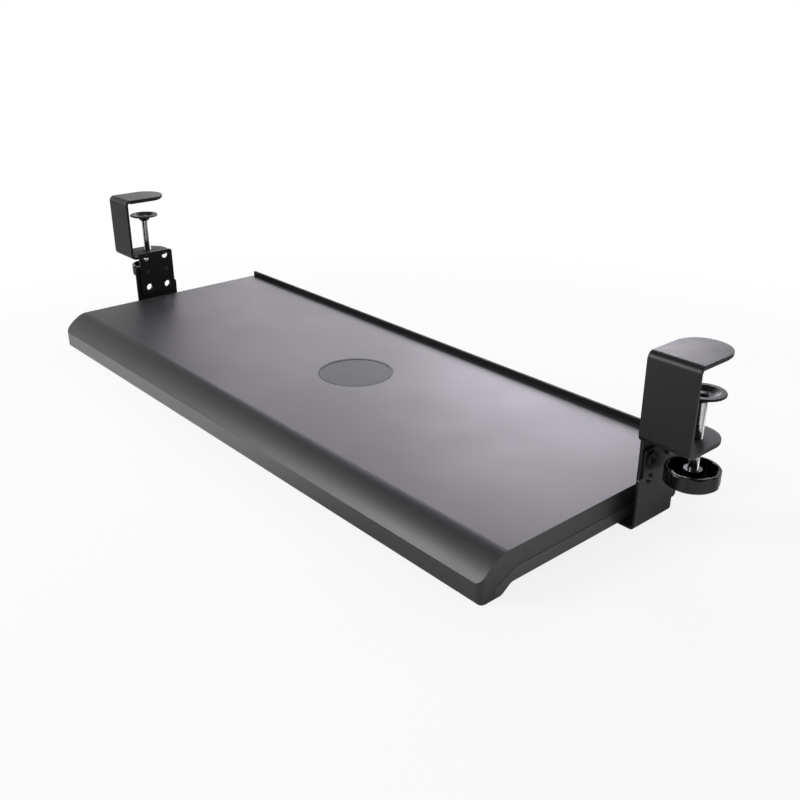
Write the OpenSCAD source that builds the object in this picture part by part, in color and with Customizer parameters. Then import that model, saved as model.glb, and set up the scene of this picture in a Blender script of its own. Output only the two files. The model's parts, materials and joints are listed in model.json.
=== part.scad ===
// Clamp-on keyboard tray that slides under a desk.
// A hollow moulded tray runs on two ball slides, and each slide hangs from its own desk clamp.
// Frame: X along the tray, Y from front to back, Z up.
// The origin is the middle of the footprint, at the height of the underside of the front lip.

/* [Tray] */
// Width of the tray, left to right
tray_w = 670; // [600:5:760]
// Depth of the tray, from the front lip to the back edge
tray_d = 261; // [241:1:320]
// Thickness of the tray at its sides
side_h = 27.5; // [27:0.5:34]
// Height of the upper shell's band on the sides
upper_h = 16; // [15.6:0.2:17]
// Wall thickness of both shells
shell_wall = 3; // [2.4:0.2:3.6]
// Gap of the seam between the two shells
seam_gap = 0.4; // [0.2:0.1:0.8]
// Radius of the two front corners, seen from above
front_corner_r = 6; // [4:1:14]
// Radius of the two back corners, seen from above
back_corner_r = 3; // [1:0.5:6]
// Thickness of the stiffening ribs
rib_t = 1.6; // [1.2:0.2:2.4]

/* [Front roll] */
// Radius at the crease, where the top rolls over
roll_r = 22; // [18:1:24]
// Angle at which the crease runs into the gentler belly of the front
roll_angle = 30; // [26:1:34]
// Steepest angle of the rolled front, at the edge of the lip
lip_angle = 51.5; // [48:0.5:56]
// Distance from the start of the crease to the front face
roll_len = 27.5; // [26:0.5:32]
// Height of the front face of the lip
nose_h = 17.2; // [16:0.1:20]
// Depth of the lip, from the front face to the seam behind it
nose_len = 14.3; // [13:0.1:17]
// Radius of the lip's lower edge
lip_r = 3; // [1:0.2:4]

/* [Disc and back strip] */
// Diameter of the plain round disc in the top
disc_d = 73; // [40:1:90]
// Sideways place of the disc
disc_x = 16; // [-60:1:60]
// Place of the disc, from front to back
disc_y = 18; // [-20:0.5:40]
// Thickness of the disc
disc_t = 1.2; // [0.8:0.1:1.6]
// Thickness of the strip along the back edge
strip_t = 3.2; // [2.6:0.2:5]
// Height of the strip above the tray
strip_h = 5.4; // [4:0.2:9]

/* [Slides] */
// Distance from the side of the tray to the middle of the rail
rail_inset = 23.5; // [23.5:0.5:40]
// Width of the rail
rail_w = 28; // [27:0.5:29]
// Height of the rail
rail_h = 11.2; // [10.8:0.1:11.4]
// Sheet thickness of the rail, the cage web and the carriage
rail_gauge = 1.5; // [1.2:0.1:1.6]
// Distance from the back edge to the rail
rail_back = 6; // [5:0.5:12]
// Length of the rail
rail_len = 216; // [190:2:218]
// Diameter of the bearing balls
ball_d = 3.2; // [3:0.1:3.4]
// Balls on each side of a slide
balls_per_side = 8; // [4:1:10]
// Length of the carriage
carriage_len = 46; // [40:1:50]

/* [Brackets] */
// Gap between the side of the tray and the hole plate
side_gap = 8; // [7:0.5:9.5]
// Thickness of the clamp's steel and of the hole plate
clamp_t = 3; // [2.5:0.5:4]
// Thickness of the L bracket's steel
bracket_t = 2; // [2:0.5:3]
// Width of the L bracket's lower plate
bracket_w = 47; // [46:1:50]
// Height of the L bracket's shoulder, from the top of the tray
shoulder_z = 14; // [14:1:17]
// Height of the top of the L bracket's tab, from the top of the tray
tab_z = 37; // [36:1:40]
// Clearance between the tray's underside and the bracket's foot
foot_gap = 0.4; // [0.3:0.1:1]
// Diameter of the height-setting holes
hole_d = 8; // [6:0.5:8.5]
// Step between two height settings
hole_step = 18; // [17:0.5:18.5]
// Distance between the two columns of holes
hole_span = 24; // [20:1:26]
// Height of the middle row of holes, from the top of the tray
hole_mid_z = 29; // [28.5:0.5:29.5]
// How far the hole plate stands above the clamp's lower flange
plate_over = 4; // [4:0.5:6]

/* [Clamps] */
// Place of the front face of the left clamp
clamp_y_left = -34.5; // [-60:0.5:30]
// Place of the front face of the right clamp
clamp_y_right = 17.5; // [-60:0.5:30]
// Width of the clamp's steel strip
clamp_w = 43; // [42:0.5:46]
// Outside height of the clamp
clamp_h = 71; // [66:1:84]
// Height of the clamp's lower face, from the top of the tray
clamp_z = 46.5; // [46:0.5:50]
// Length of the clamp's flanges
flange_len = 56; // [55:1:62]
// Outside bend radius of the clamp
clamp_bend_r = 6; // [4.5:0.5:8]
// Thickness of the soft pad under the upper flange
jaw_pad_t = 1.5; // [1:0.5:3]
// Diameter of the clamp screw
screw_d = 8; // [6:0.5:9]
// Distance from the strip's inner edge to the clamp screw
screw_x = 27; // [26:0.5:28]
// Diameter of the swivel pad
pad_d = 33; // [26:1:33]
// Height of the swivel pad's rim at rest, from the top of the tray
pad_z = 86; // [82:1:90]
// Diameter of the knob
knob_d = 42; // [34:1:43]
// Height of the knob
knob_h = 13; // [10:1:15]
// Height of the knob's top at rest, from the top of the tray
knob_z = 25; // [20:0.5:26]
// Number of finger lobes round the knob
knob_lobes = 8; // [6:1:10]
// Radius of each finger lobe
knob_lobe_r = 12; // [11:0.5:14]
// How far the left screw is wound up from its drawn height
screw_lift_left = 7; // [0:0.5:9]
// How far the right screw is wound up from its drawn height
screw_lift_right = 0; // [0:0.5:9]

/* [Hidden] */

fine = 64;
cut = 1;
steps = 12;

// Heights of the tray, above the underside of the lip
belly_r = (roll_len - roll_r * sin(roll_angle)) / (sin(lip_angle) - sin(roll_angle));
roll_drop = roll_r * (1 - cos(roll_angle)) + belly_r * (cos(roll_angle) - cos(lip_angle));
top_z = roll_drop + nose_h;
seam_z = top_z - upper_h;
under_z = top_z - side_h;
front_y = -tray_d / 2;
back_y = tray_d / 2;
side_x = tray_w / 2;

// The front roll: the crease, the seam's dip and the rise of the underside
crease_y = front_y + roll_len;
belly_y = crease_y + (belly_r - roll_r) * sin(roll_angle);
belly_z = top_z - roll_r - (belly_r - roll_r) * cos(roll_angle);
belly_step = 1.5;
nose_back_y = front_y + nose_len;
nose_floor = 2.6;
strip_seat = 1.2;
seat_gap = 0.1;
seam_dip = 8.5;
seam_run = 25;
under_flat = 5;
under_run = 19;

// Slide section, measured down from the ceiling of the rail's channel
ceiling_z = seam_z + 0.5;
hood_t = 2.5;
rail_x = side_x - rail_inset;
rail_y = back_y - rail_back - rail_len / 2;
race_gap = 2.4;
ball_r = ball_d / 2;
race_r = ball_r + 0.08;
rail_in = rail_w / 2 - rail_gauge;
ball_x = rail_in - race_gap / 2;
carriage_hw = rail_in - race_gap;
race_z = ceiling_z - 0.6 * rail_h;
cage_t = 0.8;
cage_gap = 0.5;
cage_edge = 5;
cage_z = ceiling_z - rail_gauge - cage_gap;
channel_hw = rail_w / 2 + 2;
foot_z = under_z - foot_gap;
end_cap_t = 4;
carriage_travel = rail_len - 2 * end_cap_t - carriage_len - 2;
cage_len = carriage_len + carriage_travel / 2 - 3;

// Stack of plates beside the tray, going outwards
plate_in_x = side_x + side_gap;
clamp_x = plate_in_x + clamp_t;
bracket_x = clamp_x + bracket_t;
bracket_front = 5;
tab_front = 10;
plate_front = 8.5;
hole_front = plate_front + (clamp_w - hole_span) / 2;
hole_mid_y = hole_front + hole_span / 2;
foot_mid = bracket_front + bracket_w / 2;
bend_r = 4;
bolt_head_r = 5.5;
bolt_head_h = 1.8;
bolt_chamfer = 1;

// The clamp and its screw
clamp_low = top_z + clamp_z;
clamp_top = clamp_low + clamp_h;
flange_r = clamp_w / 2;
axis_x = clamp_x + screw_x;
axis_y = flange_len - flange_r;
screw_r = screw_d / 2;
run_gap = 0.06;
nut_h = 5;
nut_r = screw_r + 3.5;
pad_rim_z = top_z + pad_z;
pad_floor_z = pad_rim_z - 2.6;
hub_low = pad_floor_z - 4.2;
neck_r = screw_r * 0.62;
knob_top = top_z + knob_z;
knob_low = knob_top - knob_h;
hub_r = screw_r + 3;
knob_wall = 2.4;
knob_floor = 2.4;

// Points of an arc, in a plane
function arc(cx, cy, r, from, to, n = steps) =
    [for (i = [0:n]) [cx + r * cos(from + (to - from) * i / n), cy + r * sin(from + (to - from) * i / n)]];

// The rolled front, a depth below its skin: the crease, then the belly down to an angle
function front_roll(depth, low_angle) = concat(
    arc(crease_y, top_z - roll_r, roll_r - depth, 90, 90 + roll_angle),
    arc(belly_y, belly_z, belly_r - depth, 90 + roll_angle + belly_step, 90 + low_angle));

// A smooth step from one height to another over a run
function ease(t) = (1 - cos(180 * t)) / 2;
function dip(y0, z0, y1, z1, n = steps) =
    [for (i = [0:n]) [y0 + (y1 - y0) * i / n, z0 + (z1 - z0) * ease(i / n)]];

// The seam between the shells, from the lip to the back edge
function seam(dz) = concat(
    dip(nose_back_y, seam_z - seam_dip + dz, nose_back_y + seam_run, seam_z + dz),
    [[back_y, seam_z + dz]]);

// The underside, from the lip to the back edge
function underside(dz) = concat([[nose_back_y, dz]],
    dip(nose_back_y + under_flat, dz, nose_back_y + under_run, under_z + dz),
    [[back_y, under_z + dz]]);

function reversed(list) = [for (i = [len(list) - 1:-1:0]) list[i]];

// Stands a side view up, and extrudes it along X
module along_x(length) {
    rotate([90, 0, 90]) linear_extrude(length, center = true) children();
}

// Extrudes a front view along Y
module along_y(length) {
    rotate([90, 0, 0]) linear_extrude(length, center = true) children();
}

// Puts a piece of the right-hand side on either side, at its clamp's place
module at_side(side, y) {
    mirror([side < 0 ? 1 : 0, 0, 0]) translate([0, y, 0]) children();
}

// Both L brackets are the same part: the left one is turned round, about the middle of its holes
module turned(side) {
    translate([0, side < 0 ? 2 * hole_mid_y : 0, 0]) mirror([0, side < 0 ? 1 : 0, 0]) children();
}
function bracket_mid(side) = side < 0 ? 2 * hole_mid_y - foot_mid : foot_mid;

// Outline of the tray seen from above, drawn in by an inset
module plan(inset) {
    rf = front_corner_r - inset;
    rb = max(back_corner_r - inset, 0.4);
    hw = side_x - inset;
    y0 = front_y + inset;
    y1 = back_y - inset;
    for (side = [-1, 1]) {
        translate([side * (hw - rf), y0 + rf]) circle(rf, $fn = fine);
        translate([side * (hw - rb), y1 - rb]) circle(rb, $fn = fine);
    }
    translate([-hw, y0 + rf]) square([2 * hw, y1 - rb - y0 - rf]);
    translate([-hw + rf, y0]) square([2 * (hw - rf), rf + cut]);
    translate([-hw + rb, y1 - rb - cut]) square([2 * (hw - rb), rb + cut]);
}

// Side view of the upper shell
module upper_side() {
    polygon(concat(
        [[back_y, top_z]],
        front_roll(0, lip_angle),
        arc(front_y + lip_r, lip_r, lip_r, 180, 270, 6),
        [[nose_back_y, 0]],
        seam(0)));
}

// Side view of the space inside the upper shell
module upper_space() {
    inner_y = front_y + shell_wall;
    inner_angle = asin((belly_y - inner_y) / (belly_r - shell_wall));
    polygon(concat(
        [[back_y - shell_wall, -cut], [back_y - shell_wall, top_z - shell_wall]],
        front_roll(shell_wall, inner_angle),
        [[inner_y, nose_floor], [nose_back_y + cut, nose_floor], [nose_back_y + cut, -cut]]));
}

// Places of the screws that hold the shells together
shell_screw_spots = [for (i = [-1.5:1:1.5], side = [-1, 1]) [i * tray_w / 5, side * tray_d / 4]];
rail_screw_spots = [for (i = [-1, 0, 1]) i * rail_len * 0.4];
boss_r = 4;
tap_r = 1.8;
shank_r = 1.75;
shell_screw_len = 12;
shell_head_h = 1.4;

module tray_top_shell() {
    color("#5a595c") difference() {
        union() {
            difference() {
                intersection() {
                    along_x(tray_w) upper_side();
                    linear_extrude(top_z + cut) plan(0);
                }
                intersection() {
                    along_x(tray_w) upper_space();
                    translate([0, 0, -cut]) linear_extrude(top_z + cut) plan(shell_wall);
                }
            }
            top_ribs();
            for (spot = shell_screw_spots)
                translate([spot[0], spot[1], under_z + shell_wall])
                    cylinder(h = side_h - 2 * shell_wall + 0.2, r = boss_r, $fn = fine);
            for (side = [-1, 1], y = rail_screw_spots)
                translate([side * rail_x, rail_y + y, ceiling_z + hood_t])
                    cylinder(h = top_z - shell_wall - ceiling_z - hood_t + 0.2, r = boss_r, $fn = fine);
        }
        for (spot = shell_screw_spots)
            translate([spot[0], spot[1], under_z]) cylinder(h = shell_screw_len + 4, r = tap_r, $fn = fine);
        for (side = [-1, 1], y = rail_screw_spots)
            translate([side * rail_x, rail_y + y, ceiling_z])
                cylinder(h = top_z - 4 - ceiling_z, r = tap_r, $fn = fine);
        translate([disc_x, disc_y, top_z - disc_t]) cylinder(h = disc_t + cut, d = disc_d + 0.6, $fn = 2 * fine);
        translate([-side_x - cut, back_y - strip_t - seat_gap, top_z - strip_seat])
            cube([tray_w + 2 * cut, strip_t + seat_gap + cut, strip_seat + cut]);
    }
}

// Ribs under the top: they stop clear of the lower shell's channels
module top_ribs() {
    rib_low = ceiling_z + hood_t + 0.6;
    rib_h = top_z - shell_wall - rib_low + 0.2;
    for (i = [-3:3])
        translate([i * tray_w / 8 - rib_t / 2, crease_y, rib_low])
            cube([rib_t, tray_d - roll_len - shell_wall + 0.2, rib_h]);
    for (side = [-1, 1])
        translate([-side_x + shell_wall - 0.2, side * tray_d / 4 - rib_t / 2, rib_low])
            cube([tray_w - 2 * shell_wall + 0.4, rib_t, rib_h]);
}

module tray_bottom_shell() {
    floor_t = shell_wall - 0.4;
    hood_low = ceiling_z;
    hood_in = channel_hw + floor_t;
    lip_x = side_x - shell_wall - 0.3;
    color("#4c4b4e") difference() {
        union() {
            difference() {
                intersection() {
                    along_x(tray_w) polygon(concat(seam(-seam_gap), reversed(underside(0))));
                    translate([0, 0, -cut]) linear_extrude(top_z) plan(0);
                    translate([-side_x, nose_back_y + seam_gap, -cut]) cube([tray_w, tray_d, top_z]);
                }
                intersection() {
                    along_x(tray_w) polygon(concat(
                        [[nose_back_y - cut, top_z], [nose_back_y - cut, floor_t]],
                        underside(floor_t), [[back_y, top_z]]));
                    linear_extrude(top_z + cut) plan(shell_wall);
                }
            }
            for (side = [-1, 1]) channel_hood(side, hood_in, lip_x);
            for (spot = shell_screw_spots)
                translate([spot[0], spot[1], under_z]) cylinder(h = shell_wall - 0.2, r = 7, $fn = fine);
        }
        for (side = [-1, 1]) {
            translate([side * rail_x - channel_hw, rail_y - rail_len / 2 - 1, -cut])
                cube([2 * channel_hw, rail_len + 2, ceiling_z + cut]);
            for (y = rail_screw_spots)
                translate([side * rail_x, rail_y + y, 0]) cylinder(h = top_z, r = tap_r + 0.2, $fn = fine);
        }
        for (spot = shell_screw_spots) {
            translate([spot[0], spot[1], 0]) cylinder(h = top_z, r = tap_r + 0.2, $fn = fine);
            translate([spot[0], spot[1], under_z - cut]) cylinder(h = 1.5 + cut, r = 4, $fn = fine);
        }
    }
}

// The box over one rail, inside the lower shell
module channel_hood(side, half, lip_x) {
    inner = rail_x - half;
    outer = min(rail_x + half, lip_x);
    low_y = rail_y - rail_len / 2 - 1 - (half - channel_hw);
    mirror([side < 0 ? 1 : 0, 0, 0])
        translate([inner, low_y, under_z])
            cube([outer - inner, back_y - shell_wall - 0.3 - low_y, ceiling_z + hood_t - under_z]);
}

module back_strip() {
    low = top_z - strip_seat;
    high = top_z + strip_h;
    front = back_y - strip_t;
    color("#141416") intersection() {
        along_x(tray_w) polygon([[front, low], [back_y, low], [back_y, high - 0.5],
            [back_y - 0.5, high], [front + 0.5, high], [front, high - 0.5]]);
        translate([0, 0, low - cut]) linear_extrude(2 * cut + strip_seat + strip_h) plan(0);
    }
}

module centre_disc() {
    color("#55575a") translate([disc_x, disc_y, top_z - disc_t])
        rotate_extrude($fn = 2 * fine)
            polygon([[0, 0], [disc_d / 2, 0], [disc_d / 2, disc_t - 0.3],
                [disc_d / 2 - 0.5, disc_t], [disc_d / 2 - 2, disc_t], [disc_d / 2 - 2.4, disc_t - 0.3],
                [0, disc_t - 0.3]]);
}

module shell_screws() {
    head_low = under_z + 0.1;
    color("#2a2a2c") for (spot = shell_screw_spots) translate([spot[0], spot[1], head_low]) {
        difference() {
            cylinder(h = shell_head_h, r = 3.4, $fn = fine);
            cross_slot(2.6);
        }
        translate([0, 0, shell_head_h]) cylinder(h = shell_screw_len, r = shank_r, $fn = fine);
    }
}

// Cross recess in the lower face of a screw head
module cross_slot(size) {
    for (turn = [0, 90]) rotate([0, 0, turn]) translate([-size / 2, -0.4, -cut]) cube([size, 0.8, cut + 0.8]);
}

// Front view of the rail, with its two ball races
module rail_section() {
    difference() {
        translate([-rail_w / 2, ceiling_z - rail_h]) square([rail_w, rail_h]);
        translate([-rail_in, ceiling_z - rail_h + 1]) square([2 * rail_in, rail_h - rail_gauge - 1]);
        translate([-rail_in + 0.5, ceiling_z - rail_h - cut]) square([2 * rail_in - 1, 3]);
        for (side = [-1, 1]) translate([side * ball_x, race_z]) circle(race_r, $fn = fine);
    }
}

module rail(side) {
    color("#9a9b9d") at_side(side, rail_y) difference() {
        translate([rail_x, 0, 0]) along_y(rail_len) rail_section();
        for (y = rail_screw_spots) translate([rail_x, y, ceiling_z - rail_gauge]) {
            translate([0, 0, -0.01]) cylinder(h = rail_gauge + 0.02, r1 = 3.3, r2 = tap_r + 0.1, $fn = fine);
        }
    }
}

module rail_screws(side) {
    color("#b8b9bb") at_side(side, rail_y) for (y = rail_screw_spots)
        translate([rail_x, y, ceiling_z - rail_gauge]) {
            difference() {
                cylinder(h = rail_gauge, r1 = 3.2, r2 = shank_r, $fn = fine);
                cross_slot(2.4);
            }
            cylinder(h = top_z - 5 - ceiling_z + rail_gauge, r = shank_r, $fn = fine);
        }
}

module rail_end_caps(side) {
    color("#1b1b1d") at_side(side, rail_y) for (end = [-1, 1])
        translate([rail_x - rail_in, end * (rail_len - end_cap_t) / 2 - end_cap_t / 2, ceiling_z - rail_h + 1])
            cube([2 * rail_in, end_cap_t, rail_h - rail_gauge - 1]);
}

// The cage follows the carriage at half its travel
function cage_y(side, clamp_y) = (clamp_y + bracket_mid(side) + rail_y) / 2;
function ball_spots() = [for (i = [0:balls_per_side - 1])
    (i - (balls_per_side - 1) / 2) * (cage_len - 2 * cage_edge) / (balls_per_side - 1)];

module ball_cage(side, clamp_y) {
    color("#c9c9c6") at_side(side, cage_y(side, clamp_y)) difference() {
        translate([rail_x, 0, 0]) along_y(cage_len) difference() {
            translate([-ball_x - 0.5, race_z - 3]) square([2 * ball_x + 1, cage_z - race_z + 3]);
            translate([-ball_x + 0.5, race_z - 3 - cut])
                square([2 * ball_x - 1, cage_z - cage_t - race_z + 3 + cut]);
        }
        for (y = ball_spots()) translate([rail_x, y, race_z]) rotate([0, 90, 0])
            cylinder(h = rail_w, r = ball_r + 0.1, center = true, $fn = fine);
    }
}

module bearing_balls(side, clamp_y) {
    color("#d8d9db") at_side(side, cage_y(side, clamp_y))
        for (y = ball_spots(), flank = [-1, 1])
            translate([rail_x + flank * ball_x, y, race_z]) sphere(ball_r, $fn = fine);
}

module carriage(side, clamp_y) {
    carriage_top = cage_z - cage_t - 0.7;
    color("#a3a4a6") at_side(side, clamp_y + bracket_mid(side)) difference() {
        translate([rail_x, 0, 0]) along_y(carriage_len) difference() {
            translate([-carriage_hw, foot_z]) square([2 * carriage_hw, carriage_top - foot_z]);
            translate([-carriage_hw + rail_gauge, foot_z + rail_gauge])
                square([2 * (carriage_hw - rail_gauge), carriage_top]);
            for (flank = [-1, 1]) translate([flank * ball_x, race_z]) circle(race_r, $fn = fine);
        }
        for (end = [-1, 1]) translate([rail_x, end * carriage_len * 0.3, foot_z - cut])
            cylinder(h = rail_gauge + 2 * cut, r = 2.1, $fn = fine);
    }
}

module carriage_screws(side, clamp_y) {
    color("#b8b9bb") at_side(side, clamp_y + bracket_mid(side))
        for (end = [-1, 1]) translate([rail_x, end * carriage_len * 0.3, foot_z - bracket_t]) {
            cylinder(h = bracket_t + rail_gauge + 0.2, r = 2, $fn = fine);
            translate([0, 0, bracket_t + rail_gauge]) difference() {
                cylinder(h = 2.2, r = 3.5, $fn = fine);
                translate([0, 0, 1]) cylinder(h = 2, r = 1.6, $fn = 6);
            }
        }
}

// Rectangle with round corners
module round_plate(w, h, r) {
    for (x = [r, w - r], y = [r, h - r]) translate([x, y]) circle(r, $fn = fine);
    translate([r, 0]) square([w - 2 * r, h]);
    translate([0, r]) square([w, h - 2 * r]);
}

// Places of the holes on one row: front and back column
hole_ys = [hole_front, hole_front + hole_span];
mid_row_z = top_z + hole_mid_z;

module row_of_holes(z, d) {
    for (y = hole_ys) translate([plate_in_x - cut, y, z])
        rotate([0, 90, 0]) cylinder(h = clamp_t + bracket_t + 2 * cut, d = d, $fn = fine);
}

module hole_plate(side, clamp_y) {
    plate_low = mid_row_z - 1.5 * hole_step;
    color("#2e2e30") at_side(side, clamp_y) difference() {
        translate([plate_in_x + clamp_t / 2, plate_front, plate_low])
            along_x(clamp_t) round_plate(clamp_w, clamp_low + clamp_t + plate_over - plate_low, 3);
        for (row = [-1, 0, 1]) row_of_holes(mid_row_z + row * hole_step, hole_d);
    }
}

// Outline of the L bracket's upright plate: its tab stands back from the lower part
module upright_plan(bend_z) {
    notch_z = bend_z + 8;
    translate([bracket_front, bend_z]) square([bracket_w, top_z + shoulder_z - bend_z - 3]);
    translate([bracket_front, notch_z]) round_plate(bracket_w, top_z + shoulder_z - notch_z, 3);
    translate([tab_front, notch_z]) round_plate(bracket_w, top_z + tab_z - notch_z, 3);
}

module l_bracket(side, clamp_y) {
    bend_z = foot_z - bracket_t + bend_r;
    foot_in = rail_x - rail_w / 2;
    color("#48484a") at_side(side, clamp_y) turned(side) difference() {
        union() {
            translate([clamp_x + bracket_t / 2, 0, 0]) along_x(bracket_t) upright_plan(bend_z);
            translate([bracket_x - bend_r, bracket_front, bend_z]) rotate([-90, 0, 0])
                linear_extrude(bracket_w) intersection() {
                    difference() {
                        circle(bend_r, $fn = fine);
                        circle(bend_r - bracket_t, $fn = fine);
                    }
                    square(bend_r);
                }
            translate([foot_in, bracket_front, foot_z - bracket_t])
                linear_extrude(bracket_t) round_plate(bracket_x - bend_r - foot_in, bracket_w, 3);
            translate([side_x - 8, bracket_front, foot_z - bracket_t])
                cube([bracket_x - bend_r - side_x + 8, bracket_w, bracket_t]);
        }
        row_of_holes(mid_row_z, hole_d + 0.4);
        row_of_holes(mid_row_z - hole_step, hole_d + 0.4);
        for (end = [-1, 1]) translate([rail_x, foot_mid + end * carriage_len * 0.3, foot_z - bracket_t - cut])
            cylinder(h = bracket_t + 2 * cut, r = 2.1, $fn = fine);
    }
}

module height_bolts(side, clamp_y) {
    color("#3a3a3c") at_side(side, clamp_y) for (y = hole_ys)
        translate([plate_in_x, y, mid_row_z]) rotate([0, 90, 0]) {
            cylinder(h = bolt_chamfer, r1 = hole_d / 2 - bolt_chamfer, r2 = hole_d / 2 - 0.05, $fn = fine);
            translate([0, 0, bolt_chamfer])
                cylinder(h = clamp_t + bracket_t - bolt_chamfer + 0.2, r = hole_d / 2 - 0.05, $fn = fine);
            translate([0, 0, clamp_t + bracket_t]) difference() {
                cylinder(h = bolt_head_h, r = bolt_head_r, $fn = fine);
                translate([0, 0, 0.6]) cylinder(h = bolt_head_h, r = 2.3, $fn = 6);
            }
        }
}

// Side view of the clamp's bent strip, open where its flanges are cut to length
module clamp_side() {
    difference() {
        translate([0, clamp_low]) round_plate(flange_len + 2 * clamp_bend_r, clamp_h, clamp_bend_r);
        translate([clamp_t, clamp_low + clamp_t])
            round_plate(flange_len + 3 * clamp_bend_r, clamp_h - 2 * clamp_t, clamp_bend_r - clamp_t);
    }
}

// Outline of a flange seen from above: straight sides and a half-round end
module flange_plan(inset) {
    translate([flange_r, axis_y]) circle(flange_r - inset, $fn = 2 * fine);
    translate([inset, -cut]) square([clamp_w - 2 * inset, axis_y + cut]);
}

module clamp_frame(side, clamp_y) {
    color("#262628") at_side(side, clamp_y) difference() {
        intersection() {
            translate([clamp_x + clamp_w / 2, 0, 0]) along_x(clamp_w) clamp_side();
            translate([clamp_x, 0, clamp_low - cut]) linear_extrude(clamp_h + 2 * cut) flange_plan(0);
        }
        translate([axis_x, axis_y, clamp_low - cut])
            cylinder(h = clamp_t + 2 * cut, r = screw_r + 0.4, $fn = fine);
    }
}

module jaw_pad(side, clamp_y) {
    color("#1a1a1c") at_side(side, clamp_y) intersection() {
        translate([clamp_x, 0, clamp_top - clamp_t - jaw_pad_t]) linear_extrude(jaw_pad_t) flange_plan(1.5);
        translate([clamp_x, clamp_bend_r + 1, 0]) cube([clamp_w, flange_len, 2 * clamp_top]);
    }
}

module weld_nut(side, clamp_y) {
    color("#2c2c2e") at_side(side, clamp_y) translate([axis_x, axis_y, clamp_low - nut_h]) difference() {
        cylinder(h = nut_h, r1 = nut_r - 0.8, r2 = nut_r, $fn = fine);
        translate([0, 0, -cut]) cylinder(h = nut_h + 2 * cut, r = screw_r + run_gap, $fn = fine);
    }
}

module clamp_screw(side, clamp_y, lift) {
    color("#cfd0d2") at_side(side, clamp_y) translate([axis_x, axis_y, lift]) {
        translate([0, 0, knob_low + 2]) cylinder(h = hub_low - run_gap - knob_low - 2, r = screw_r, $fn = fine);
        translate([0, 0, hub_low - 1]) cylinder(h = pad_floor_z - hub_low + 1.2, r = neck_r, $fn = fine);
        translate([0, 0, pad_floor_z + run_gap])
            rotate_extrude($fn = fine) polygon([[0, 0], [screw_r, 0], [screw_r - 0.4, 0.8],
                [screw_r - 1.6, 1.3], [0, 1.4]]);
    }
}

module swivel_pad(side, clamp_y, lift) {
    r = pad_d / 2;
    rim_z = pad_rim_z - pad_floor_z;
    color("#1d1d1f") at_side(side, clamp_y) translate([axis_x, axis_y, pad_floor_z + lift])
        rotate_extrude($fn = 2 * fine) polygon([
            [neck_r + run_gap, hub_low - pad_floor_z], [screw_r + 1.6, hub_low - pad_floor_z],
            [screw_r + 2.2, -2.4], [screw_r + 4.6, -1.2], [r - 1.6, rim_z - 2], [r - 0.4, rim_z - 1.7],
            [r, rim_z - 1], [r - 0.3, rim_z - 0.2], [r - 1, rim_z], [r - 4.4, rim_z],
            [r - 5.4, rim_z - 0.6], [screw_r + 3.4, 0], [neck_r + run_gap, 0]]);
}

// Outline of the knob seen from above: round lobes set in a ring, drawn in by an inset
module knob_plan(inset) {
    circle(knob_lobe_r - inset, $fn = fine);
    for (i = [0:knob_lobes - 1]) rotate(i * 360 / knob_lobes)
        translate([knob_d / 2 - knob_lobe_r, 0]) circle(knob_lobe_r - inset, $fn = fine);
}

module knob(side, clamp_y, lift) {
    r = knob_d / 2;
    color("#161618") at_side(side, clamp_y) translate([axis_x, axis_y, knob_low + lift]) difference() {
        intersection() {
            linear_extrude(knob_h) knob_plan(0);
            rotate_extrude($fn = 2 * fine) polygon([[0, 0], [r - 2, 0], [r, 1.6], [r, knob_h - 1.2],
                [r - 1, knob_h], [0, knob_h]]);
        }
        difference() {
            translate([0, 0, knob_floor]) linear_extrude(knob_h) knob_plan(knob_wall);
            cylinder(h = knob_h - 1, r = hub_r, $fn = fine);
        }
        translate([0, 0, 2]) cylinder(h = knob_h, r = screw_r + 0.02, $fn = fine);
    }
}

tray_top_shell();
tray_bottom_shell();
back_strip();
centre_disc();
shell_screws();
rail(-1);  // rail_left
rail(1);  // rail_right
rail_screws(-1);  // rail_screws_left
rail_screws(1);  // rail_screws_right
rail_end_caps(-1);  // rail_end_caps_left
rail_end_caps(1);  // rail_end_caps_right
ball_cage(-1, clamp_y_left);  // ball_cage_left
ball_cage(1, clamp_y_right);  // ball_cage_right
bearing_balls(-1, clamp_y_left);  // bearing_balls_left
bearing_balls(1, clamp_y_right);  // bearing_balls_right
carriage(-1, clamp_y_left);  // carriage_left
carriage(1, clamp_y_right);  // carriage_right
carriage_screws(-1, clamp_y_left);  // carriage_screws_left
carriage_screws(1, clamp_y_right);  // carriage_screws_right
l_bracket(-1, clamp_y_left);  // l_bracket_left
l_bracket(1, clamp_y_right);  // l_bracket_right
hole_plate(-1, clamp_y_left);  // hole_plate_left
hole_plate(1, clamp_y_right);  // hole_plate_right
height_bolts(-1, clamp_y_left);  // height_bolts_left
height_bolts(1, clamp_y_right);  // height_bolts_right
clamp_frame(-1, clamp_y_left);  // clamp_frame_left
clamp_frame(1, clamp_y_right);  // clamp_frame_right
jaw_pad(-1, clamp_y_left);  // jaw_pad_left
jaw_pad(1, clamp_y_right);  // jaw_pad_right
weld_nut(-1, clamp_y_left);  // weld_nut_left
weld_nut(1, clamp_y_right);  // weld_nut_right
clamp_screw(-1, clamp_y_left, screw_lift_left);  // clamp_screw_left
clamp_screw(1, clamp_y_right, screw_lift_right);  // clamp_screw_right
swivel_pad(-1, clamp_y_left, screw_lift_left);  // swivel_pad_left
swivel_pad(1, clamp_y_right, screw_lift_right);  // swivel_pad_right
knob(-1, clamp_y_left, screw_lift_left);  // knob_left
knob(1, clamp_y_right, screw_lift_right);  // knob_right
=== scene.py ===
# Clamp-on keyboard tray: finishes, close detail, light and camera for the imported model
import json
import math

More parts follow.
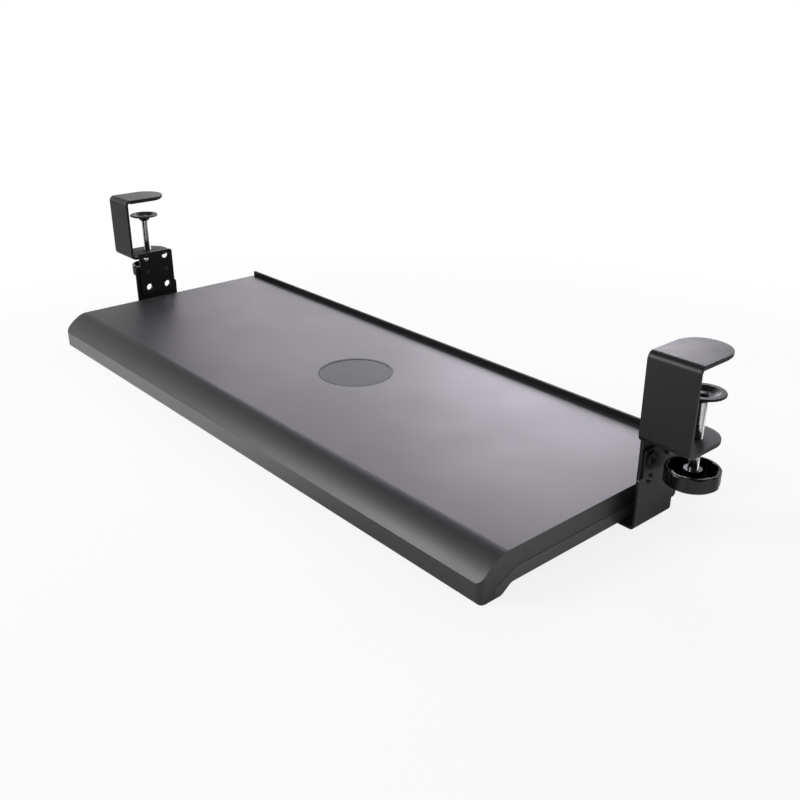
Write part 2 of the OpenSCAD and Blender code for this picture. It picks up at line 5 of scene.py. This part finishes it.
import bmesh
import bpy
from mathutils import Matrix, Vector


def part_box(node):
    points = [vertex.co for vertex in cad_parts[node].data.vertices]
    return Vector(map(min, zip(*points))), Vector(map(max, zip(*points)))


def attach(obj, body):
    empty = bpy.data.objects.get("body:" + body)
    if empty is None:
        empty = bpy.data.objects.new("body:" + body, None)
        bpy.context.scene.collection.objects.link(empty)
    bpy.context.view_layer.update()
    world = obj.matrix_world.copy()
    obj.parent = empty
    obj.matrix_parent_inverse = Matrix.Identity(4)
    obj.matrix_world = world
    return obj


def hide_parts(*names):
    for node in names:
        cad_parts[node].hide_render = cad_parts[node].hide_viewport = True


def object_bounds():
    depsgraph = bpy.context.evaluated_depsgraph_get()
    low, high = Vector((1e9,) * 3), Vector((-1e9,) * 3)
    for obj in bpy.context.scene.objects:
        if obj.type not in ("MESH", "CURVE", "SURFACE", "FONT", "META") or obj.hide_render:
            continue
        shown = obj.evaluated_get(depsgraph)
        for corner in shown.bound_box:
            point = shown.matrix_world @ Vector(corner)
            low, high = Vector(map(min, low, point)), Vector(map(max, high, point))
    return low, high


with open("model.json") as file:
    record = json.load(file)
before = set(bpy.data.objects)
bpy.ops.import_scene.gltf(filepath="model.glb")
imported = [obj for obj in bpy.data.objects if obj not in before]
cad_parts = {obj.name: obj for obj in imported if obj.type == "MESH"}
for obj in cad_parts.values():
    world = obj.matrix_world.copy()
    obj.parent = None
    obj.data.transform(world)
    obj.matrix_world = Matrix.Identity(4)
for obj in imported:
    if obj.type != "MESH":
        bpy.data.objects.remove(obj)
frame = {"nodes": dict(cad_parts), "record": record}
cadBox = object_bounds()
nodes = frame["nodes"]
print("frame loaded,", len(nodes), "nodes")

mm = 0.001
sides = ("left", "right")


def linear(hexColour):  # sRGB hex text to the linear colour that nodes and lamps take
    parts = [int(hexColour[i:i + 2], 16) / 255 for i in (1, 3, 5)]
    return [c / 12.92 if c <= 0.04045 else ((c + 0.055) / 1.055) ** 2.4 for c in parts] + [1.0]


# An input takes a number, a colour or another node's socket. Sockets that share a name go by number
def addNode(tree, kind, settings=None, inputs=None):
    node = tree.nodes.new(kind)
    for name, value in (settings or {}).items():
        setattr(node, name, value)
    for name, value in (inputs or {}).items():
        if isinstance(value, bpy.types.NodeSocket):
            tree.links.new(value, node.inputs[name])
        else:
            node.inputs[name].default_value = value
    return node


white = linear("#ffffff")
colourMix = {"data_type": "RGBA"}
mixShare, mixFirst, mixSecond = 0, 6, 7  # the colour sockets of a Mix node
smooth = {"interpolation_type": "SMOOTHSTEP"}


def newMaterial(name):
    material = bpy.data.materials.new(name)
    material.use_nodes = True
    material.node_tree.nodes.clear()
    return material, material.node_tree


# What all finishes share. A span is the part of a value's range that the surfaces really use
finishNoise = {
    "grain": {"Detail": 3.0, "Roughness": 0.55}, "drift": {"Detail": 4.0, "Roughness": 0.6},
    "driftSpan": (0.3, 0.7), "openSpan": (0.45, 0.95), "openSamples": 8}


def surface(name, look):  # a finish with a fine grain, slow colour drift and uneven gloss
    material, tree = newMaterial(name)
    place = addNode(tree, "ShaderNodeTexCoord").outputs["Object"]
    if "stretch" in look:  # drawn out along one direction, as rolling or brushing leaves it
        place = addNode(tree, "ShaderNodeMapping", inputs={
            "Vector": place, "Scale": look["stretch"]}).outputs[0]
    grain = addNode(tree, "ShaderNodeTexNoise", inputs={
        "Vector": place, "Scale": 1 / (look["grain"] * mm), **finishNoise["grain"]})
    drift = addNode(tree, "ShaderNodeTexNoise", inputs={
        "Vector": place, "Scale": 1 / (look["drift"] * mm), **finishNoise["drift"]})
    colour = addNode(tree, "ShaderNodeMix", colourMix, {
        mixShare: drift.outputs["Fac"],
        mixFirst: linear(look["dark"]), mixSecond: linear(look["light"])})
    low, high = finishNoise["driftSpan"]
    gloss = addNode(tree, "ShaderNodeMapRange", inputs={
        "Value": drift.outputs["Fac"], "From Min": low, "From Max": high,
        "To Min": look["roughness"] - look["uneven"],
        "To Max": look["roughness"] + look["uneven"]})
    bump = addNode(tree, "ShaderNodeBump", inputs={
        "Height": grain.outputs["Fac"],
        "Strength": look["bump"], "Distance": look["relief"] * mm})
    if "recess" in look:  # spray reaches the inside of a bend less well: a duller finish there
        openness = addNode(tree, "ShaderNodeAmbientOcclusion", {
            "samples": finishNoise["openSamples"], "only_local": True}, {
            "Distance": look["recess"] * mm})
        low, high = finishNoise["openSpan"]
        gloss = addNode(tree, "ShaderNodeMapRange", inputs={
            "Value": openness.outputs["AO"], "From Min": low, "From Max": high,
            "To Min": look["recessRoughness"], "To Max": gloss.outputs[0]})
    shader = addNode(tree, "ShaderNodeBsdfPrincipled", inputs={
        "Base Color": colour.outputs[2], "Roughness": gloss.outputs[0],
        "Normal": bump.outputs[0], **look["sockets"]})
    addNode(tree, "ShaderNodeOutputMaterial", inputs={"Surface": shader.outputs[0]})
    return material


# Finishes. grain is one speck, drift one patch of the slow change, relief the grain's height and
# recess how far the spray looks for open air, all in mm. A grain called coarser is drawn larger
# than the real one so that it shows at all

# Moulded ABS, its real 0.15 mm spark-eroded grain drawn coarser: a soft sheen that spreads the
# room's light over the top and falls to near black where the surface turns away
trayAbs = surface("mouldedAbs", {
    "dark": "#2f2d30", "light": "#353336", "roughness": 0.42, "uneven": 0.02,
    "grain": 0.45, "drift": 60, "bump": 0.25, "relief": 0.02,
    "sockets": {"IOR": 1.54}})

# Moulded ABS from a duller tool, grain drawn coarser too: the lower band looks paler and flatter
lowerAbs = surface("mouldedAbsDull", {
    "dark": "#464547", "light": "#4f4e50", "roughness": 0.42, "uneven": 0.03,
    "grain": 0.5, "drift": 50, "bump": 0.35, "relief": 0.03,
    "sockets": {"IOR": 1.54}})

# Moulded polypropylene strip and end caps, coarser grain: black and waxy, with little shine
blackPolypropylene = surface("mouldedPolypropylene", {
    "dark": "#060607", "light": "#0b0b0c", "roughness": 0.55, "uneven": 0.05,
    "grain": 0.6, "drift": 30, "bump": 0.15, "relief": 0.03,
    "sockets": {"IOR": 1.49, "Specular IOR Level": 0.3}})

# Moulded ABS disc with a satin soft-touch face, coarser grain: it throws back less of the room
# than the tray round it, so it looks darker and a little greener
discPlastic = surface("satinAbs", {
    "dark": "#2d302e", "light": "#353836", "roughness": 0.38, "uneven": 0.02,
    "grain": 0.3, "drift": 25, "bump": 0.1, "relief": 0.01,
    "sockets": {"IOR": 1.54, "Specular IOR Level": 0.12}})

# Powder coat sprayed and baked on steel: orange peel at its real size breaks up each highlight,
# and the coat is duller where the spray had to reach in
powderCoat = surface("powderCoat", {
    "dark": "#101011", "light": "#161617", "roughness": 0.42, "uneven": 0.03,
    "grain": 0.9, "drift": 18, "bump": 0.22, "relief": 0.04,
    "recess": 80, "recessRoughness": 0.85,
    "sockets": {"IOR": 1.5, "Specular IOR Level": 0.45}})

# Black oxide dipped on the steel of small bolts, coarser grain: a thin dark grey skin that still
# glints like the metal under it
blackOxide = surface("blackOxideSteel", {
    "dark": "#47474a", "light": "#5c5c60", "roughness": 0.34, "uneven": 0.06,
    "grain": 0.3, "drift": 4, "bump": 0.2, "relief": 0.01,
    "sockets": {"Metallic": 0.85}})

# Zinc plated on rolled slides, coarser grain: pale grey with a faint line along the travel
zincPlate = surface("zincPlate", {
    "dark": "#a9abad", "light": "#c3c5c7", "roughness": 0.32, "uneven": 0.08,
    "grain": 0.4, "drift": 12, "bump": 0.15, "relief": 0.01, "stretch": (1.0, 0.06, 1.0),
    "sockets": {"Metallic": 1.0}})

# Hardened bearing steel, ground and lapped, its marks drawn coarser: mirror-like balls
bearingSteel = surface("polishedSteel", {
    "dark": "#c4c5c8", "light": "#d3d4d6", "roughness": 0.1, "uneven": 0.03,
    "grain": 0.3, "drift": 2, "bump": 0.05, "relief": 0.005,
    "sockets": {"Metallic": 1.0}})

# Bright zinc plated on the clamp screw's rolled thread, coarser grain: thin, sharp glints
brightZinc = surface("brightZinc", {
    "dark": "#cfd0d2", "light": "#e4e5e6", "roughness": 0.12, "uneven": 0.04,
    "grain": 0.25, "drift": 6, "bump": 0.15, "relief": 0.01,
    "sockets": {"Metallic": 1.0}})

# Rubber sheet, die-cut for the jaw pad: matt, with pores drawn coarser
jawRubber = surface("dieCutRubber", {
    "dark": "#101011", "light": "#191919", "roughness": 0.82, "uneven": 0.06,
    "grain": 0.5, "drift": 8, "bump": 0.6, "relief": 0.05,
    "sockets": {"IOR": 1.52}})

# Glass-filled nylon, moulded for the swivel pad, coarser grain: black with a satin face
padNylon = surface("mouldedNylon", {
    "dark": "#0e0e10", "light": "#161618", "roughness": 0.46, "uneven": 0.05,
    "grain": 0.4, "drift": 10, "bump": 0.2, "relief": 0.015,
    "sockets": {"IOR": 1.53, "Specular IOR Level": 0.35}})

# ABS knob from a polished mould, coarser grain: glossy black, sharp reflections on its hollows
knobPlastic = surface("glossyAbs", {
    "dark": "#060607", "light": "#0c0c0d", "roughness": 0.2, "uneven": 0.04,
    "grain": 0.5, "drift": 14, "bump": 0.08, "relief": 0.01,
    "sockets": {"IOR": 1.54, "Specular IOR Level": 0.3}})

# Peened steel on the clamp screw's end, hammer marks at their real size, with dull facets. Its dark
# grey is painted shade: it stands in for the shade inside the pad's hollow, where the end sits
peenedSteelPaintedShade = surface("peenedSteelPaintedShade", {
    "dark": "#1b1b1d", "light": "#303032", "roughness": 0.45, "uneven": 0.08,
    "grain": 0.4, "drift": 2, "bump": 0.5, "relief": 0.05,
    "sockets": {"Metallic": 1.0}})

finishOf = {
    "tray_abs": trayAbs, "lower_abs": lowerAbs, "strip_plastic": blackPolypropylene,
    "disc_plastic": discPlastic, "black_oxide_steel": blackOxide, "zinc_steel": zincPlate,
    "bearing_steel": bearingSteel, "powder_coat": powderCoat, "rubber_pad": jawRubber,
    "screw_steel": brightZinc, "pad_plastic": padNylon, "knob_plastic": knobPlastic}
record = frame["record"]
slotOf = {part["node"]: part["material_slot"] for part in record["subparts"]}
bodyOf = {node: body for body, members in record["behaviour"]["bodies"].items() for node in members}
for name, node in nodes.items():
    node.data.materials.clear()
    node.data.materials.append(finishOf[slotOf[name]])
print("finishes set on", len(nodes), "nodes")


def newPiece(name, mesh, node):  # stands for one CAD node, with its finish and its body
    piece = bpy.data.objects.new(name, mesh)
    bpy.context.scene.collection.objects.link(piece)
    if not mesh.materials:
        mesh.materials.append(finishOf[slotOf[node]])
    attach(piece, bodyOf[node])
    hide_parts(node)
    return piece


# Broken edges: tumbled sheet steel and moulded shells catch a thin line of light there. Widths
# in mm, the second lot for the left and the right part alike
edgeWidths = {"tray_top_shell": 0.6, "tray_bottom_shell": 0.35}
pairWidths = {
    "clamp_frame": 0.45, "hole_plate": 0.3, "l_bracket": 0.3, "height_bolts": 0.25,
    "knob": 0.5, "jaw_pad": 0.25, "weld_nut": 0.3}
edgeCut = {
    "segments": 2, "sharperThan": 24,  # degrees between two faces
    "weldWithin": 0.002, "flatWithin": 0.4,  # mm between points, degrees between faces
    "flatWeight": 100}
for part, width in pairWidths.items():
    for side in sides:
        edgeWidths[part + "_" + side] = width

for name, width in edgeWidths.items():
    mesh = nodes[name].data.copy()
    mesh.name = name + "_broken"
    work = bmesh.new()
    work.from_mesh(mesh)
    bmesh.ops.remove_doubles(work, verts=work.verts, dist=edgeCut["weldWithin"] * mm)
    bmesh.ops.dissolve_limit(
        work, angle_limit=math.radians(edgeCut["flatWithin"]), verts=work.verts, edges=work.edges)
    for face in work.faces:
        face.smooth = True
    work.to_mesh(mesh)
    work.free()
    piece = newPiece(name + "_piece", mesh, name)
    bevel = piece.modifiers.new("brokenEdge", "BEVEL")
    bevel.width = width * mm
    bevel.segments = edgeCut["segments"]
    bevel.limit_method = "ANGLE"
    bevel.angle_limit = math.radians(edgeCut["sharperThan"])
    flatFaces = piece.modifiers.new("flatFaces", "WEIGHTED_NORMAL")
    flatFaces.weight = edgeCut["flatWeight"]
    flatFaces.keep_sharp = True
print("edges broken on", len(edgeWidths), "pieces")

# Clamp screw: a rolled thread at the real 1.25 mm pitch, under a smooth neck that the pad turns on
clampScrew = {
    "pitch": 1.25, "depth": 0.7, "chamfer": 0.6, "hubGap": 0.1,  # mm
    "crest": (0.3125, 0.4375), "flankEnd": 0.75,  # shares of the pitch
    "steps": 40, "weldWithin": 0.0005}


def threadedRod(name, centre, radius, low, high, spec):  # right-hand, with flat crests and roots
    pitch, steps, chamfer = spec["pitch"] * mm, spec["steps"], spec["chamfer"] * mm
    root = radius - spec["depth"] * mm
    crestStart, crestEnd = spec["crest"]
    profile = [(root, 0.0), (radius, crestStart), (radius, crestEnd), (root, spec["flankEnd"])]
    count = (math.ceil((high - low) / pitch) + 1) * steps + 1
    work = bmesh.new()
    rows = []
    for i in range(count):
        angle = 2 * math.pi * i / steps
        row = []
        for r, share in profile:
            z = low - pitch + pitch * (i / steps + share)
            edge = min(max(z, low), high)
            fade = min((edge - low) / chamfer, (high - edge) / chamfer, 1.0)
            r = root + (r - root) * max(fade, 0.0)
            row.append(work.verts.new((
                centre.x + r * math.cos(angle), centre.y + r * math.sin(angle), edge)))
        rows.append(row)
    for i in range(count - 1):
        here, ahead = rows[i], rows[i + 1]
        for k in range(len(profile) - 1):
            work.faces.new((here[k], ahead[k], ahead[k + 1], here[k + 1]))
        above = i + steps  # the same place one turn up, where the root joins the next flank
        if above + 1 < count:
            work.faces.new((here[-1], ahead[-1], rows[above + 1][0], rows[above][0]))
    bmesh.ops.remove_doubles(work, verts=work.verts, dist=spec["weldWithin"] * mm)
    bmesh.ops.recalc_face_normals(work, faces=work.faces)
    mesh = bpy.data.meshes.new(name)
    work.to_mesh(mesh)
    work.free()
    return mesh


# Screw tip: a neck through the pad's hub, and a peened head that keeps the pad on
screwTip = {
    "neckShare": 0.62, "neckStart": 1.5,  # of the screw's radius, mm under the hub
    "head": ((0, 1.4), (0, 1.1), (0.5, 0.5), (1.8, 0.1)),  # mm in from the rim, mm below the top
    "steps": 48, "onAxis": 1e-7}


def lathe(name, centre, outline, spec):  # turns (radius, height) pairs round a vertical axis
    steps = spec["steps"]
    turns = [2 * math.pi * i / steps for i in range(steps)]
    work = bmesh.new()
    rings = []
    for r, z in outline:
        if r < spec["onAxis"]:
            rings.append([work.verts.new((centre.x, centre.y, z))])
        else:
            rings.append([work.verts.new((
                centre.x + r * math.cos(turn), centre.y + r * math.sin(turn), z))
                for turn in turns])
    for lower, upper in zip(rings, rings[1:]):
        for i in range(steps):
            j = (i + 1) % steps
            corners = [lower[i % len(lower)], lower[j % len(lower)],
                       upper[j % len(upper)], upper[i % len(upper)]]
            unique = list(dict.fromkeys(corners))
            if len(unique) > 2:
                work.faces.new(unique)
    bmesh.ops.recalc_face_normals(work, faces=work.faces)
    for face in work.faces:
        face.smooth = True
    mesh = bpy.data.meshes.new(name)
    work.to_mesh(mesh)
    work.free()
    return mesh


for side in sides:
    low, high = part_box("clamp_screw_" + side)
    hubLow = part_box("swivel_pad_" + side)[0].z
    centre = (low + high) / 2
    radius = (high.x - low.x) / 2
    rod = threadedRod("threadedRod_" + side, centre, radius,
                      low.z, hubLow - clampScrew["hubGap"] * mm, clampScrew)
    newPiece("threaded_rod_" + side, rod, "clamp_screw_" + side)
    neck, neckStart = radius * screwTip["neckShare"], hubLow - screwTip["neckStart"] * mm
    head = [(radius - inset * mm, high.z - drop * mm) for inset, drop in screwTip["head"]]
    outline = [(0, neckStart), (neck, neckStart), (neck, head[0][1])] + head + [(0, high.z)]
    tip = lathe("screwTip_" + side, centre, outline, screwTip)
    # The screw's end gets the dark finish that paints the shade of the pad's hollow
    tip.materials.append(peenedSteelPaintedShade)
    newPiece("screw_tip_" + side, tip, "clamp_screw_" + side)
print("clamp screws threaded")

# Room: white to the camera. A shiny face mirrors a white wall behind the tray, which fades out
# upwards and towards the camera's side. Levels are strengths of white
room = {
    "fill": 0.3, "dim": 0.2,  # on matt faces, and what a shiny face mirrors away from the wall
    "wallTop": (0.3, 0.5), "wallSide": (-0.755, 0.656, 0.0), "wallEnd": (-0.25, 0.3)}

world = bpy.data.worlds.new("room")
bpy.context.scene.world = world
world.use_nodes = True
tree = world.node_tree
tree.nodes.clear()
path = addNode(tree, "ShaderNodeLightPath").outputs
seen = addNode(tree, "ShaderNodeMath", {"operation": "MAXIMUM"}, {
    0: path["Is Camera Ray"], 1: path["Is Transmission Ray"]})
sky = addNode(tree, "ShaderNodeTexCoord").outputs["Generated"]
height = addNode(tree, "ShaderNodeSeparateXYZ", inputs={0: sky})
wall = addNode(tree, "ShaderNodeMapRange", smooth, {
    "Value": height.outputs["Z"], "From Min": room["wallTop"][0], "From Max": room["wallTop"][1],
    "To Min": 1.0, "To Max": 0.0})
facing = addNode(tree, "ShaderNodeVectorMath", {"operation": "DOT_PRODUCT"}, {
    0: sky, 1: room["wallSide"]})
facing = addNode(tree, "ShaderNodeMapRange", smooth, {
    "Value": facing.outputs["Value"],
    "From Min": room["wallEnd"][0], "From Max": room["wallEnd"][1]})
wall = addNode(tree, "ShaderNodeMath", {"operation": "MULTIPLY"}, {
    0: wall.outputs[0], 1: facing.outputs[0]})
wall = addNode(tree, "ShaderNodeMapRange", inputs={
    "Value": wall.outputs[0], "To Min": room["dim"]})
fill = addNode(tree, "ShaderNodeBackground", inputs={"Color": white, "Strength": room["fill"]})
mirrored = addNode(tree, "ShaderNodeBackground", inputs={
    "Color": white, "Strength": wall.outputs[0]})
backdrop = addNode(tree, "ShaderNodeBackground", inputs={"Color": white, "Strength": 1.0})
mixed = addNode(tree, "ShaderNodeMixShader", inputs={
    0: path["Is Glossy Ray"], 1: fill.outputs[0], 2: mirrored.outputs[0]})
mixed = addNode(tree, "ShaderNodeMixShader", inputs={
    0: seen.outputs[0], 1: mixed.outputs[0], 2: backdrop.outputs[0]})
addNode(tree, "ShaderNodeOutputWorld", inputs={"Surface": mixed.outputs[0]})

# Floor: pale matt paint, whitened to the camera by a share that leaves the shadow showing. It is
# greyer further out, so that less light comes up from there. Two patches in it glow only where a
# shiny face mirrors them, along the tray's front and by its right side: painted reflections
floorLook = {
    "size": 24.0, "drop": 0.5,  # metres across, mm below the part
    "paint": "#f9f9f9", "farPaint": "#b4b4b4", "farReach": (0.45, 0.75),  # metres from the shadow
    "shadowCentre": (0.25, -0.15, 0.0), "shadowReach": (0.25, 0.95), "whitened": 0.85,
    "paintedReflectionPatches": [  # each one's centre and half-widths in metres, and its strength
        ((-0.16, -0.2, 0.0), (0.4, 0.2, 1.0), 1.0), ((0.46, -0.04, 0.0), (0.2, 0.16, 1.0), 0.4)],
    "paintedReflectionFade": (0.4, 1.0)}

floorMaterial, tree = newMaterial("paintedFloor")
path = addNode(tree, "ShaderNodeLightPath").outputs
spot = addNode(tree, "ShaderNodeTexCoord").outputs["Object"]
away = addNode(tree, "ShaderNodeVectorMath", {"operation": "DISTANCE"}, {
    0: spot, 1: floorLook["shadowCentre"]})
whitened = addNode(tree, "ShaderNodeMapRange", smooth, {
    "Value": away.outputs["Value"],
    "From Min": floorLook["shadowReach"][0], "From Max": floorLook["shadowReach"][1],
    "To Min": floorLook["whitened"], "To Max": 1.0})
whitened = addNode(tree, "ShaderNodeMath", {"operation": "MULTIPLY"}, {
    0: whitened.outputs[0], 1: path["Is Camera Ray"]})
seen = addNode(tree, "ShaderNodeMath", {"operation": "MAXIMUM"}, {
    0: path["Is Glossy Ray"], 1: path["Is Transmission Ray"]})
far = addNode(tree, "ShaderNodeMapRange", smooth, {
    "Value": away.outputs["Value"],
    "From Min": floorLook["farReach"][0], "From Max": floorLook["farReach"][1]})
paint = addNode(tree, "ShaderNodeMix", colourMix, {
    mixShare: far.outputs[0],
    mixFirst: linear(floorLook["paint"]), mixSecond: linear(floorLook["farPaint"])})
paint = addNode(tree, "ShaderNodeBsdfDiffuse", inputs={"Color": paint.outputs[2]})
glow = addNode(tree, "ShaderNodeEmission", inputs={"Color": white, "Strength": 1.0})
mixed = addNode(tree, "ShaderNodeMixShader", inputs={
    0: whitened.outputs[0], 1: paint.outputs[0], 2: glow.outputs[0]})
# Painted reflection: each patch glows only for rays that a shiny face throws back, never to the
# camera or to matt faces
for patchCentre, halfWidths, strength in floorLook["paintedReflectionPatches"]:
    offset = addNode(tree, "ShaderNodeVectorMath", {"operation": "SUBTRACT"}, {
        0: spot, 1: patchCentre})
    offset = addNode(tree, "ShaderNodeVectorMath", {"operation": "DIVIDE"}, {
        0: offset.outputs[0], 1: halfWidths})
    away = addNode(tree, "ShaderNodeVectorMath", {"operation": "LENGTH"}, {0: offset.outputs[0]})
    paintedReflection = addNode(tree, "ShaderNodeMapRange", smooth, {
        "Value": away.outputs["Value"],
        "From Min": floorLook["paintedReflectionFade"][0], "From Max": floorLook["paintedReflectionFade"][1],
        "To Min": strength, "To Max": 0.0})
    paintedReflection = addNode(tree, "ShaderNodeMath", {"operation": "MULTIPLY"}, {
        0: paintedReflection.outputs[0], 1: seen.outputs[0]})
    paintedReflection = addNode(tree, "ShaderNodeEmission", inputs={
        "Color": white, "Strength": paintedReflection.outputs[0]})
    mixed = addNode(tree, "ShaderNodeAddShader", inputs={0: mixed.outputs[0], 1: paintedReflection.outputs[0]})
addNode(tree, "ShaderNodeOutputMaterial", inputs={"Surface": mixed.outputs[0]})

work = bmesh.new()
bmesh.ops.create_grid(work, x_segments=1, y_segments=1, size=floorLook["size"] / 2)
floorMesh = bpy.data.meshes.new("floor")
work.to_mesh(floorMesh)
work.free()
floorMesh.materials.append(floorMaterial)
floor = bpy.data.objects.new("floor", floorMesh)
floor.location = (0, 0, cadBox[0][2] - floorLook["drop"] * mm)
bpy.context.scene.collection.objects.link(floor)

# Soft boxes: round is degrees round from +X, up is degrees above the tray, away is in metres
softBoxes = {
    "front": {"round": 236, "up": 30, "watts": 22.0, "shade": "#ffffff"},
    "rear": {"round": 124, "up": 21, "watts": 13.5, "shade": "#f9f4ff"},
    "rearLeft": {"round": 146, "up": 21, "watts": 5.0, "shade": "#f9f4ff"},
    "rearRight": {"round": 60, "up": 30, "watts": 6.0, "shade": "#ffffff"}}
boxReach = {"aim": (0.1, 0.0, 0.03), "away": 2.0, "size": 0.75}

for name, box in softBoxes.items():
    lamp = bpy.data.lights.new(name, "AREA")
    lamp.shape = "SQUARE"
    lamp.size = boxReach["size"]
    lamp.energy = box["watts"]
    lamp.color = linear(box["shade"])[:3]
    turn, rise = math.radians(box["round"]), math.radians(box["up"])
    aside = Vector((
        math.cos(turn) * math.cos(rise), math.sin(turn) * math.cos(rise), math.sin(rise)))
    holder = bpy.data.objects.new(name, lamp)
    holder.location = Vector(boxReach["aim"]) + boxReach["away"] * aside
    holder.rotation_euler = aside.to_track_quat("Z", "Y").to_euler()
    bpy.context.scene.collection.objects.link(holder)
print("light and floor placed")

# Camera at the photograph's place: its distance, height and lens follow from the tray's corners
view = {
    "place": (0.69875, -0.51786, 0.38715), "target": (0.0962, 0.00604, 0.03436),
    "lens": 42.65, "sensor": 36.0, "clip": (0.01, 60)}
camera = bpy.data.objects.new("camera", bpy.data.cameras.new("camera"))
camera.data.lens = view["lens"]
camera.data.sensor_width = view["sensor"]
camera.data.clip_start, camera.data.clip_end = view["clip"]
camera.location = view["place"]
towards = Vector(view["target"]) - Vector(view["place"])
camera.rotation_euler = towards.to_track_quat("-Z", "Y").to_euler()
bpy.context.scene.collection.objects.link(camera)
bpy.context.scene.camera = camera
bpy.context.scene.view_settings.view_transform = "Standard"
print("camera placed")
